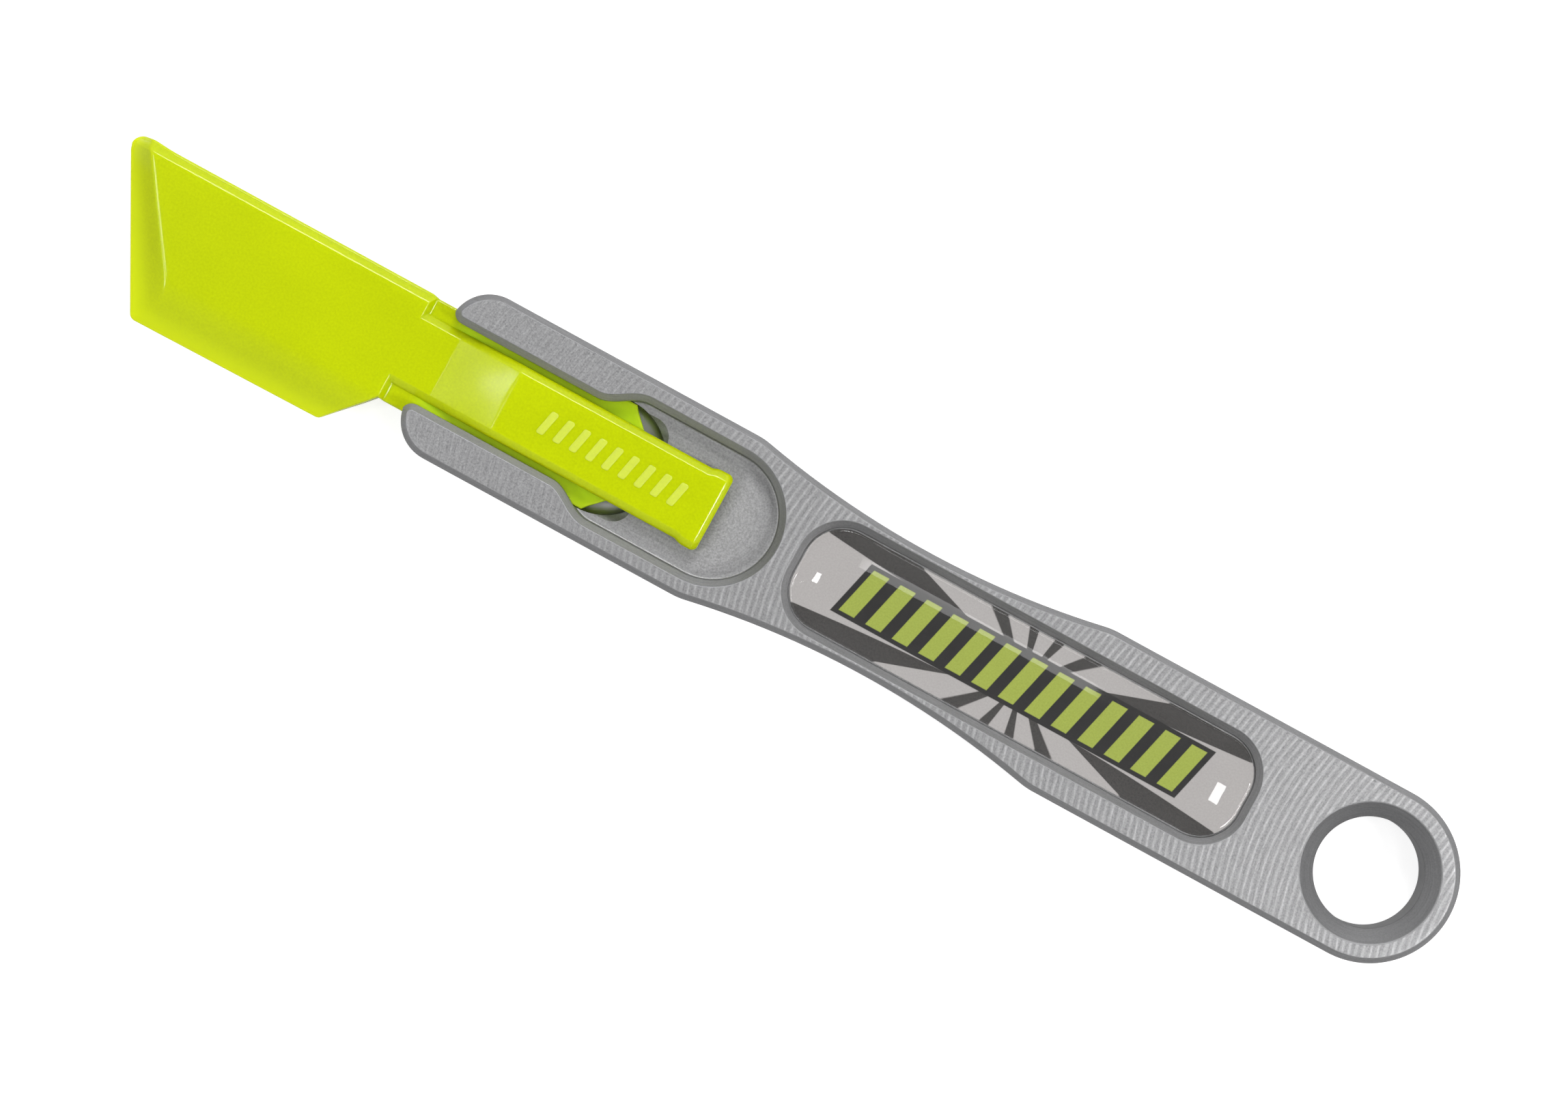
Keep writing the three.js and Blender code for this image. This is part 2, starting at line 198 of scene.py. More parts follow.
def fork_outline():
    """The recess's round end, narrowing in curves to the mouth between the lips."""
    mouth_half = LIP_HALF_GAP + MOUTH_R
    half = arc(RECESS_END_X, 0, RECESS_HALF_WIDTH, 0, 90, 4)
    half += s_curve(RECESS_START_X, RECESS_HALF_WIDTH, LIP_END_X, LIP_HALF_GAP, -CURVE_PULL)
    half += arc(FRONT_X + MOUTH_R, mouth_half, MOUTH_R, -90, -180, 9)
    half.append((FRONT_X - 2, mouth_half))
    return without_repeats(half + mirrored(half))


def slot_outline():
    """The T-slot's round end, open at the front."""
    half = arc(SLOT_END_X, 0, SLOT_HALF_WIDTH, 0, 90, 4)
    half.append((FRONT_X - 2, SLOT_HALF_WIDTH))
    return without_repeats(half + mirrored(half))


def rounded_box(low_x, high_x, half_width, r, step=5.0):
    """A rounded rectangle across the centre line. The number of points doesn't depend on r."""
    half = arc(high_x - r, half_width - r, r, 0, 90, step)
    half += arc(low_x + r, half_width - r, r, 90, 180, step)
    return half + mirrored(half)


def without_repeats(points):
    """Drops points that repeat the one before."""
    kept = []
    for p in points:
        if not kept or math.dist(p, kept[-1]) > 1e-6:
            kept.append(p)
    if math.dist(kept[0], kept[-1]) < 1e-6:
        kept.pop()
    return kept


def grown(points, distance):
    """A counter-clockwise outline moved outwards by distance."""
    p = np.array(points)
    before = p - np.roll(p, 1, axis=0)
    after = np.roll(p, -1, axis=0) - p
    before /= np.linalg.norm(before, axis=1)[:, None]
    after /= np.linalg.norm(after, axis=1)[:, None]
    n1 = np.stack([before[:, 1], -before[:, 0]], 1)
    n2 = np.stack([after[:, 1], -after[:, 0]], 1)
    mitre = (n1 + n2) / (1 + (n1 * n2).sum(1))[:, None]
    return [tuple(q) for q in p + distance * mitre]


def eased(points, length, count=3):
    """Rounds the inner corners of an open path, taking length from each side."""
    path = [points[0]]
    for a, b, c in zip(points, points[1:], points[2:]):
        a, b, c = Vector(a), Vector(b), Vector(c)
        cut = min(length, (b - a).length * 0.49, (c - b).length * 0.49)
        start, end = b + (a - b).normalized() * cut, b + (c - b).normalized() * cut
        for t in np.linspace(0, 1, count + 1):
            q = start * (1 - t) ** 2 + b * 2 * t * (1 - t) + end * t * t
            path.append(tuple(q))
    path.append(points[-1])
    return path


# ---- Mesh helpers ----


def new_object(name, bm):
    """An object in the scene, made from a bmesh that is used up."""
    mesh = bpy.data.meshes.new(name)
    bm.to_mesh(mesh)
    bm.free()
    obj = bpy.data.objects.new(name, mesh)
    bpy.context.scene.collection.objects.link(obj)
    return obj


def ring_solid(name, rings):
    """A closed solid from rings of (x, y, z) points in millimetres, with flat ends."""
    bm = bmesh.new()
    loops = [[bm.verts.new(Vector(p) * MM) for p in ring] for ring in rings]
    count = len(loops[0])
    for low, high in zip(loops, loops[1:]):
        for i in range(count):
            j = (i + 1) % count
            bm.faces.new((low[i], low[j], high[j], high[i]))
    bm.faces.new(list(reversed(loops[0])))
    bm.faces.new(loops[-1])
    bmesh.ops.recalc_face_normals(bm, faces=bm.faces)
    return new_object(name, bm)


def swept(name, outline, profile):
    """The outline grown by the first number of each profile pair at the height of the second."""
    rings = []
    for distance, z in profile:
        rings.append([(x, y, z) for x, y in grown(outline, distance)])
    return ring_solid(name, rings)


def combine(obj, other, operation):
    """Joins or cuts with an exact boolean, and removes the other object."""
    modifier = obj.modifiers.new("combine", "BOOLEAN")
    modifier.operation = operation
    modifier.solver = "EXACT"
    modifier.object = other
    apply_modifiers(obj)
    bpy.data.objects.remove(other)


def apply_modifiers(obj):
    """Replaces the mesh by the one that its modifiers give."""
    bpy.context.view_layer.update()
    graph = bpy.context.evaluated_depsgraph_get()
    mesh = bpy.data.meshes.new_from_object(obj.evaluated_get(graph), depsgraph=graph)
    obj.modifiers.clear()
    old = obj.data
    obj.data = mesh
    bpy.data.meshes.remove(old)


def shade(obj, angle=35.0, keep_flats=True):
    """Smooth shading with sharp edges above the angle, and large flat faces kept flat."""
    bm = bmesh.new()
    bm.from_mesh(obj.data)
    bmesh.ops.remove_doubles(bm, verts=bm.verts, dist=1e-7)
    bmesh.ops.dissolve_degenerate(bm, edges=bm.edges, dist=1e-7)
    for face in bm.faces:
        face.smooth = True
    for edge in bm.edges:
        edge.smooth = len(edge.link_faces) == 2 and edge.calc_face_angle(0) < math.radians(angle)
    bm.to_mesh(obj.data)
    bm.free()
    if not keep_flats:
        return
    weighted = obj.modifiers.new("flat_faces", "WEIGHTED_NORMAL")
    weighted.keep_sharp = True
    weighted.weight = 100
    apply_modifiers(obj)


# ---- Handle ----


def pocket_profile(floor_z, fillet):
    """A cutter that leaves a filleted floor, a straight wall and a chamfer with broken edges."""
    wall = eased([(-1, floor_z), (0, floor_z), (0, TOP_Z - POCKET_CHAMFER - 0.4)], fillet, 4)
    rim = eased(
        [
            (0, TOP_Z - POCKET_CHAMFER - 0.3),
            (0, TOP_Z - POCKET_CHAMFER),
            (POCKET_CHAMFER, TOP_Z),
            (POCKET_CHAMFER + 0.3, TOP_Z),
        ],
        EDGE_BREAK,
    )
    return wall + rim[:-1] + [(rim[-2][0] + 0.001, TOP_Z + 1)]


def build_handle():
    """The billet less its fork, T-slot, relief, label pocket and bore."""
    rim = [(-1.2, 0), (-EDGE_CHAMFER, 0), (0, EDGE_CHAMFER), (0, TOP_Z / 2)]
    lower = eased(rim, EDGE_BREAK)
    upper = [(d, TOP_Z - z) for d, z in reversed(lower[:-1])]
    body = swept("handle", handle_outline(), lower[:-1] + upper)

    opening = swept("opening", fork_outline(), pocket_profile(RECESS_FLOOR_Z, FLOOR_FILLET))
    combine(body, opening, "DIFFERENCE")

    slot = eased([(-3, SLOT_FLOOR_Z), (0, SLOT_FLOOR_Z), (0, SLOT_CEILING_Z - 0.3)], SLOT_FILLET, 8)
    slot += [(0, SLOT_CEILING_Z), (-3, SLOT_CEILING_Z)]
    combine(body, swept("slot", slot_outline(), slot), "DIFFERENCE")

    relief = rounded_box(RELIEF_START_X, RELIEF_END_X, RELIEF_HALF_WIDTH, RELIEF_R)
    rise = RECESS_FLOOR_Z - RELIEF_FLOOR_Z
    cut = [(-2.4, RELIEF_FLOOR_Z), (-RELIEF_SLOPE, RELIEF_FLOOR_Z), (0, RECESS_FLOOR_Z)]
    cut.append((RELIEF_SLOPE * 0.1, RECESS_FLOOR_Z + rise * 0.1))
    relief = swept("relief", without_repeats(relief), eased(cut, RELIEF_FILLET, 5))
    combine(body, relief, "DIFFERENCE")

    pocket = rounded_box(LABEL_START_X, LABEL_END_X, LABEL_HALF_WIDTH, LABEL_R)
    profile = pocket_profile(LABEL_FLOOR_Z, LABEL_FILLET)
    combine(body, swept("label_pocket", without_repeats(pocket), profile), "DIFFERENCE")

    bore = without_repeats(arc(RING_X, 0, BORE_R, 0, 360, 3))
    sink = [(0, TOP_Z / 2), (0, TOP_Z - SINK), (SINK, TOP_Z), (SINK + 0.3, TOP_Z)]
    sink = eased(sink, 2 * EDGE_BREAK)
    sink = sink[:-1] + [(sink[-2][0] + 0.001, TOP_Z + 1)]
    under = [(d, TOP_Z - z) for d, z in reversed(sink)]
    combine(body, swept("bore", bore, under[:-1] + sink[1:]), "DIFFERENCE")
    shade(body)
    return body


def sort_handle_faces(body):
    """Material 0 is the fly-cut faces, 1 the milled walls and chamfers, 2 the pocket floors."""
    for face in body.data.polygons:
        z = face.center.z / MM
        flat = abs(face.normal.z) > 0.995
        outer = z > TOP_Z - 0.02 or z < 0.02
        inner = flat or (face.normal.z > 0.3 and z < RECESS_FLOOR_Z + 0.1)
        face.material_index = 0 if flat and outer else 2 if inner else 1


# ---- Blade moulding ----


def smooth_min(a, b, k):
    """The lower of two heights, rounded where they cross over about k."""
    h = np.clip(0.5 + 0.5 * (b - a) / k, 0, 1)
    return b + (a - b) * h - k * h * (1 - h)


def corner(before, at, after, r, count=8):
    """Points of the arc that rounds the corner at a point."""
    before, at, after = Vector(before), Vector(at), Vector(after)
    u, v = (before - at).normalized(), (after - at).normalized()
    half = math.acos(max(-1, min(1, u.dot(v)))) / 2
    centre = at + (u + v).normalized() * (r / math.sin(half))
    start, end = at + u * (r / math.tan(half)) - centre, at + v * (r / math.tan(half)) - centre
    sweep = math.atan2(start.cross(end), start.dot(end))
    points = []
    for t in np.linspace(0, sweep, count + 1):
        c, s = math.cos(t), math.sin(t)
        points.append((centre.x + c * start.x - s * start.y, centre.y + s * start.x + c * start.y))
    return points


def front_x(y):
    """X of the slanted front edge."""
    return FRONT_AT_AXIS_X - FRONT_SLOPE * y


def chain_x(chain, y):
    """X of a chain of points at each Y. The chain may run either way, but only one way."""
    p = np.array(chain if chain[0][1] < chain[-1][1] else chain[::-1])
    return np.interp(y, p[:, 1], p[:, 0])


def edge_drop(share):
    """Fall of the spine's edge, 0 to 1, over a crease, a bevel and a round."""
    return np.interp(share, EDGE_SHARES, EDGE_FALLS)


def side_rows(outline):
    """Y of the skin's rows below the rails, one through each point of the outline."""
    rows = {round(y, 4) for _, y in outline if y < -SKIN_TOP_Y - 0.01}
    rows |= {round(y, 4) for y in np.linspace(SKIN_LOW_Y, -SKIN_TOP_Y, FLARE_ROW_COUNT)[1:-1]}
    return sorted(y for y in rows if y > SKIN_LOW_Y + 1e-4)


def long_rows(front):
    """Y of the skin's rows that run on along the rails and the spine."""
    spine = [SPINE_FLAT_HALF + (SPINE_HALF_WIDTH - SPINE_FLAT_HALF) * share for share in EDGE_SHARES]
    half = [*FLAT_ROWS, *spine, *RAIL_ROWS, SKIN_TOP_Y]
    rows = [-y for y in half] + [y for y in half if y < BACK_ROWS[0]] + BACK_ROWS
    rows += [y for _, y in front if BACK_ROWS[-1] < y < SKIN_TOP_Y - 1e-4] + [SKIN_TOP_Y]
    return sorted({round(y, 4) for y in rows})


def lines_behind_shoulder():
    """X of the skin's lines from the shoulder to the start of the nose."""
    lines = list(np.linspace(SHOULDER_X, SHOULDER_FOOT_X, SHOULDER_LINE_COUNT)[1:])
    lines += [SHOULDER_FOOT_X + 0.12, SHOULDER_FOOT_X + 0.4, -54.5, -52.5]
    lines += [RAMP_START_X + step for step in (-0.3, 0, 0.1, 0.2, SPINE_DIVE)]
    return lines + [-50, -47, -42, -36, -30, NOSE_X - 0.8]


def moulding_body():
    """Blade, rails, spine and tang as one skin over a grid whose lines follow the creases."""
    lean = MOULD_EDGE_R * math.hypot(1, FRONT_SLOPE)
    tip = (front_x(SKIN_TOP_Y) + lean, SKIN_TOP_Y)
    heel = (front_x(SKIN_LOW_Y) + lean, SKIN_LOW_Y)
    rear_low = (REAR_CORNER_X, SKIN_LOW_Y)
    notch = (SHOULDER_X, -SKIN_TOP_Y)
    front = corner(rear_low, heel, tip, HEEL_R) + corner(heel, tip, (0, SKIN_TOP_Y), TIP_R)
    rear = corner(heel, rear_low, notch, REAR_R) + [notch]

    def lines_to(x_rear, y):
        x_front = float(chain_x(front, y))
        x_crease = max(float(chain_x(CREASE, y)), x_front + 1.0)
        xs = [x_front + (x_crease - x_front) * t for t in TO_CREASE]
        return xs + [x_crease + (x_rear - x_crease) * t for t in TO_SHOULDER]

    short_rows = [SKIN_LOW_Y + 1e-4] + side_rows(front + rear)
    grid = [[(x, y) for x in lines_to(float(chain_x(rear, y)), y)] for y in short_rows]
    nose = [NOSE_TIP_X - MOULD_EDGE_R, NOSE_X - MOULD_EDGE_R * 0.4]
    for y in long_rows(front):
        x_nose = float(np.interp(abs(y), [NOSE_TIP_HALF, SKIN_TOP_Y], nose))
        line = lines_to(SHOULDER_X, y) + lines_behind_shoulder()
        line += [line[-1] + (x_nose - line[-1]) * t for t in (0.3, 0.65, 1.0)]
        grid.append([(x, y) for x in line])
    grid = [[(x, settled_y(x, y)) for x, y in line] for line in grid]
    return skin_grid(grid, len(short_rows), len(TO_CREASE) + len(TO_SHOULDER), front)


def settled_y(x, y):
    """Y of a grid point once the straight edges take their real places."""
    beside = np.clip((abs(y) - SIDE_Y) / (SKIN_TOP_Y - SIDE_Y), 0, 1)
    rail = np.clip((x - SHOULDER_X) / (SHOULDER_FOOT_X - SHOULDER_X), 0, 1)
    if y > 0:
        tip = TIP_BULGE * math.exp(-(((x - TIP_BULGE_X) / TIP_BULGE_LENGTH) ** 2))
        spread = NOSE_SPREAD * np.interp(x, NOSE_SPREAD_X, [0, 1])
        return y + beside * (BACK_BULGE * (1 - rail) + (spread - RAIL_SHIFT) * rail + tip)
    if y > -SKIN_TOP_Y - 1e-6:
        return y - beside * RAIL_SHIFT * rail
    share = np.clip((y + HEEL_SIDE_Y) / (SKIN_LOW_Y + HEEL_SIDE_Y), 0, 1)
    return y + share * REAR_LIFT * (x - HEEL_X) / (REAR_CORNER_X - HEEL_X)


def moulding_top(x, y, front):
    """Height of the moulding's upper skin."""
    x_front, x_crease = chain_x(front, y), chain_x(CREASE, y)
    share = (x - x_front) / np.maximum(x_crease - x_front, 1.0)
    facet = THIN_EDGE_Z + (SPINE_Z - THIN_EDGE_Z) * share
    z = smooth_min(np.full_like(x, SPINE_Z), facet, FACET_BLEND)
    fall = (SPINE_Z - THIN_EDGE_Z) * (np.maximum(0, FLARE_Y - y) / FLARE_REACH) ** FLARE_POWER
    z = smooth_min(z, SPINE_Z + FLARE_RISE - fall, FLARE_BLEND)
    z = smooth_min(z, SPINE_Z - BACK_BEVEL_SLOPE * (y - BACK_BEVEL_Y), BACK_BLEND)
    step = np.clip((x - SHOULDER_X) / (SHOULDER_FOOT_X - SHOULDER_X), 0, 1)
    rail = SPINE_Z - (SPINE_Z - RAIL_Z) * step * step * (3 - 2 * step)
    side = np.clip((np.abs(y) - SPINE_FLAT_HALF) / (SPINE_HALF_WIDTH - SPINE_FLAT_HALF), 0, 1)
    spine = SPINE_Z - (SPINE_Z - RAIL_Z) * edge_drop(side)
    spine = spine + (RAIL_Z - spine) * np.clip((x - RAMP_START_X) / SPINE_DIVE, 0, 1)
    return np.where(x > SHOULDER_X, np.minimum(np.maximum(rail, spine), z), z)


def edge_loop(bm, outline, heights, angle, way):
    """Points of one loop round the moulding's rounded edge, way up or down from the heights."""
    a = math.radians(angle)
    ring = grown(outline, MOULD_EDGE_R * math.sin(a))
    shift = way * MOULD_EDGE_R * (1 - math.cos(a))
    return [bm.verts.new((x * MM, y * MM, (h + shift) * MM)) for (x, y), h in zip(ring, heights)]


def skin_grid(grid, short_count, split, front):
    """Upper skin, rounded edges and flat underside over a grid whose first rows are short.

    The short rows end after split points, at the shoulder's notch.
    """
    bm = bmesh.new()
    upper, lower = [], []
    for line in grid:
        p = np.array(line)
        z = moulding_top(p[:, 0], p[:, 1], front)
        upper.append([bm.verts.new((x * MM, y * MM, h * MM)) for (x, y), h in zip(line, z)])
        lower.append([bm.verts.new((x * MM, y * MM, BODY_BOTTOM_Z * MM)) for x, y in line])
    for j in range(len(grid) - 1):
        for i in range(min(len(grid[j]), len(grid[j + 1])) - 1):
            bm.faces.new((upper[j][i], upper[j][i + 1], upper[j + 1][i + 1], upper[j + 1][i]))
            bm.faces.new((lower[j][i], lower[j + 1][i], lower[j + 1][i + 1], lower[j][i + 1]))
    path = [(0, i) for i in range(split)]
    path += [(j, split - 1) for j in range(1, short_count + 1)]
    path += [(short_count, i) for i in range(split, len(grid[-1]))]
    path += [(j, len(grid[-1]) - 1) for j in range(short_count + 1, len(grid))]
    path += [(len(grid) - 1, i) for i in range(len(grid[-1]) - 2, -1, -1)]
    path += [(j, 0) for j in range(len(grid) - 2, 0, -1)]
    flat = [grid[j][i] for j, i in path]
    heights = [upper[j][i].co.z / MM for j, i in path]
    floor = [BODY_BOTTOM_Z] * len(path)
    angles = [22.5, 45, 67.5, 90]
    loops = [[upper[j][i] for j, i in path]]
    loops += [edge_loop(bm, flat, heights, a, -1) for a in angles]
    loops += [edge_loop(bm, flat, floor, a, 1) for a in reversed(angles)]
    loops.append([lower[j][i] for j, i in path])
    count = len(path)
    for a, b in zip(loops, loops[1:]):
        for i in range(count):
            j = (i + 1) % count
            bm.faces.new((a[j], a[i], b[i], b[j]))
    bmesh.ops.recalc_face_normals(bm, faces=bm.faces)
    return new_object("insert_moulding", bm)


def clip_section(x, half_width, low_z, high_z, inset=0.0, side_inset=0.0, crown=0.0):
    """One ring of the clip tongue: creased upper edges, small round lower ones, a crowned top."""
    w, top, bottom = half_width - side_inset, high_z - inset, low_z + inset
    reach = max(min(SPINE_HALF_WIDTH - SPINE_FLAT_HALF, w), 0.05)
    fall = min(SPINE_Z - RAIL_Z, (top - bottom) * 0.55)
    small = min(0.25, (top - bottom) * 0.3)
    half = [(0.0, top + crown)]
    for share in (0.25, 0.5, 0.75):
        half.append(((w - reach) * share, top + crown * (1 - share**2)))
    for share, drop in zip(EDGE_SHARES, EDGE_FALLS):
        half.append((w - reach + reach * share, top - fall * drop))
    for a in np.radians(np.linspace(0, 90, 4)):
        half.append((w - small + small * math.cos(a), bottom + small - small * math.sin(a)))
    half.append((0.0, bottom))
    ring = half + [(-y, z) for y, z in reversed(half[1:-1])]
    return [(x, y, z) for y, z in ring]


def clip_tongue():
    """The tongue in rings along X, from inside the spine to its creased end."""
    slope = (CLIP_TOP_Z - SPINE_Z) / (RAMP_END_X - RAMP_START_X)
    slit_slope = (CLIP_BOTTOM_Z - SLIT_ROOF_Z) / (SLIT_RISE_END_X - SLIT_START_X)

    def top(x):
        ramp = SPINE_Z + slope * (x - RAMP_START_X)
        return float(smooth_min(np.float64(ramp), np.float64(CLIP_TOP_Z), RAMP_BLEND))

    def crown(x):
        share = np.clip((x - RAMP_START_X) / (RAMP_END_X - RAMP_START_X), 0, 1)
        return float(RAMP_CROWN * 4 * share * (1 - share))

    def bottom(x):
        if x < SLIT_START_X - 0.15:
            return RAIL_Z - ROOT_DEPTH
        roof = SLIT_ROOF_Z + (x - SLIT_START_X) * slit_slope
        return min(roof, CLIP_BOTTOM_Z) - np.interp(x, BEAD_X, [0, BEAD_HEIGHT])

    def width(x):
        return float(SPINE_HALF_WIDTH + CLIP_OVERLAP + np.interp(x, FLARE_X, FLARE_OUT))

    stations = [-52.6, -51.6, RAMP_START_X, -50.5, -49.5, SLIT_START_X - 0.2, SLIT_START_X, -47.6]
    stations += [-46.8, -46, -45.2, -44.4, -43.6, -43]
    stations += [RAMP_END_X + step for step in (-0.5, -0.25, -0.1, 0, 0.1, 0.25, 0.5, 0.8)]
    stations += [-40, -32, -24, -16, -13.6, -13.3, -12.9, -12.6, -12.3, -11.6, CLIP_END_X - CLIP_END_R]
    rings = [clip_section(x, width(x), bottom(x), top(x), crown=crown(x)) for x in stations]
    for share, fall in zip(EDGE_SHARES[1:], EDGE_FALLS[1:]):
        x = CLIP_END_X - CLIP_END_R * (1 - share)
        side = CLIP_END_R * (1 - math.sqrt(1 - share**2))
        rings.append(clip_section(x, width(x), bottom(x), top(x), CLIP_END_DROP * fall, side))
    return ring_solid("clip_tongue", rings)


def grip_rib(index):
    """A low slanted rib across the clip."""
    x = RIB_FIRST_X + RIB_PITCH * index
    plain = [(RIB_HALF_WIDTH, -RIB_HALF_LENGTH), (RIB_HALF_WIDTH, RIB_HALF_LENGTH)]
    plain += [(-RIB_HALF_WIDTH, RIB_HALF_LENGTH), (-RIB_HALF_WIDTH, -RIB_HALF_LENGTH)]
    corners = [(x + u + RIB_SLANT * v, v) for u, v in plain]
    outline = []
    for i in range(4):
        outline += corner(corners[i - 1], corners[i], corners[(i + 1) % 4], RIB_CORNER_R, 4)
    top = CLIP_TOP_Z + RIB_HEIGHT
    profile = [(0.06, CLIP_TOP_Z - 0.2), (0.03, CLIP_TOP_Z + 0.02)]
    profile += [(0, top - 0.05), (-0.06, top - 0.01), (-0.15, top)]
    return swept(f"rib_{index}", without_repeats(outline), profile)


def build_moulding():
    """Body, clip and ribs in one skin, which stores its rest places for the material."""
    body = moulding_body()
    combine(body, clip_tongue(), "UNION")
    for index in range(RIB_COUNT):
        combine(body, grip_rib(index), "UNION")
    shade(body, 40)
    rest = body.data.attributes.new(REST_PLACE, "FLOAT_VECTOR", "POINT")
    places = np.empty(3 * len(body.data.vertices), np.float32)
    body.data.vertices.foreach_get("co", places)
    rest.data.foreach_set("vector", places)
    return body


# ---- Label ----


def label_ring(inset, z):
    """The label's outline drawn in by inset. Its ends turn full round as it narrows."""
    gap = LABEL_GAP + inset
    tighter = (LABEL_HALF_WIDTH - LABEL_R) * math.exp(-((inset / CORNER_SETTLE) ** 2))
    r = LABEL_HALF_WIDTH - gap - tighter
    outline = rounded_box(LABEL_START_X + gap, LABEL_END_X - gap, LABEL_HALF_WIDTH - gap, r)
    return [(x, y, z) for x, y in outline]


def label_sheet(name, low_z, high_z):
    """A thin die-cut layer with slightly eased edges."""
    ease = (high_z - low_z) * 0.25
    rings = [label_ring(ease, low_z), label_ring(0, low_z + ease)]
    rings += [label_ring(0, high_z - ease), label_ring(ease, high_z)]
    obj = ring_solid(name, rings)
    shade(obj)
    return obj


def build_dome():
    """Resin that stands nearly upright at its edge and rises to a parabolic crown."""
    half = LABEL_HALF_WIDTH - LABEL_GAP
    crown_insets = (0.32, 0.45, 0.7, *np.arange(1, 6.9, 0.3), 6.95, 7.05)
    side_z = DOME_Z + DOME_SIDE
    rise = DOME_TOP_Z - side_z
    rings = [label_ring(0.04, DOME_Z + RESIN_LIFT), label_ring(0, DOME_Z + 0.06)]
    rings.append(label_ring(0, side_z - DOME_LIP))
    for a in np.radians([20, 40, 60, 75]):
        lip_z = side_z - DOME_LIP + DOME_LIP * math.sin(a)
        rings.append(label_ring(DOME_LIP * (1 - math.cos(a)), lip_z))
    lip_z = rings[-1][0][2]
    for inset in crown_insets:
        share = 1 - (1 - inset / half) ** 2
        rings.append(label_ring(inset, max(lip_z, side_z + rise * share - DOME_SAG)))
    obj = ring_solid("label_resin", rings)
    shade(obj, 50, keep_flats=False)
    return obj


# ---- Materials ----


class Graph:
    """A short way to write node graphs: plain numbers go into sockets, sockets are linked."""

    def __init__(self, name):
        self.material = bpy.data.materials.new(name)
        self.material.use_nodes = True
        self.nodes = self.material.node_tree.nodes
        self.links = self.material.node_tree.links
        self.nodes.clear()
        self.output = self.nodes.new("ShaderNodeOutputMaterial")

    def put(self, socket, value):
        if isinstance(value, bpy.types.NodeSocket):
            self.links.new(value, socket)
        else:
            socket.default_value = value

    def math(self, operation, a, b=0.0, c=0.0):
        node = self.nodes.new("ShaderNodeMath")
        node.operation = operation
        for socket, value in zip(node.inputs, (a, b, c)):
            self.put(socket, value)
        return node.outputs[0]

    def xyz(self, attribute=None):
        """Position in millimetres in the row frame, from a stored attribute on a piece that bends."""
        if attribute:
            node = self.nodes.new("ShaderNodeAttribute")
            node.attribute_name = attribute
            place = node.outputs["Vector"]
        else:
            place = self.nodes.new("ShaderNodeTexCoord").outputs["Object"]
        split = self.nodes.new("ShaderNodeSeparateXYZ")
        self.links.new(place, split.inputs[0])
        return [self.math("MULTIPLY", split.outputs[i], 1 / MM) for i in range(3)]

    def vector(self, x, y, z):
        node = self.nodes.new("ShaderNodeCombineXYZ")
        for socket, value in zip(node.inputs, (x, y, z)):
            self.put(socket, value)
        return node.outputs[0]

    def noise(self, vector, scale, detail=2.0, rough=0.5):
        node = self.nodes.new("ShaderNodeTexNoise")
        self.put(node.inputs["Vector"], vector)
        node.inputs["Scale"].default_value = scale
        node.inputs["Detail"].default_value = detail
        node.inputs["Roughness"].default_value = rough
        return node.outputs["Fac"]

    def span(self, value, low, high, to_low=0.0, to_high=1.0, smooth=False):
        node = self.nodes.new("ShaderNodeMapRange")
        node.interpolation_type = "SMOOTHSTEP" if smooth else "LINEAR"
        for socket, v in zip(node.inputs[:5], (value, low, high, to_low, to_high)):
            self.put(socket, v)
        return node.outputs[0]

    def above(self, value, soft=0.05):
        """1 where value is above 0, with an edge soft wide on each side."""
        return self.span(value, -soft, soft)

    def mix(self, share, a, b):
        node = self.nodes.new("ShaderNodeMix")
        node.data_type = "RGBA"
        self.put(node.inputs[0], share)
        self.put(node.inputs[6], a)
        self.put(node.inputs[7], b)
        return node.outputs[2]

    def tint(self, share, colours):
        """A colour between two screen colours."""
        low, high = colours
        return self.mix(share, linear(low), linear(high))

    def bump(self, height, strength, distance):
        node = self.nodes.new("ShaderNodeBump")
        node.inputs["Strength"].default_value = strength
        node.inputs["Distance"].default_value = distance
        self.put(node.inputs["Height"], height)
        return node.outputs[0]

    def principled(self, **values):
        node = self.nodes.new("ShaderNodeBsdfPrincipled")
        for name, value in values.items():
            self.put(node.inputs[name.replace("_", " ")], value)
        self.links.new(node.outputs[0], self.output.inputs[0])
        return node


def linear(hex_colour):
    """A shader colour from a screen colour."""
    parts = [int(hex_colour[i : i + 2], 16) / 255 for i in (1, 3, 5)]
    return tuple(c / 12.92 if c < 0.04045 else ((c + 0.055) / 1.055) ** 2.4 for c in parts) + (1.0,)


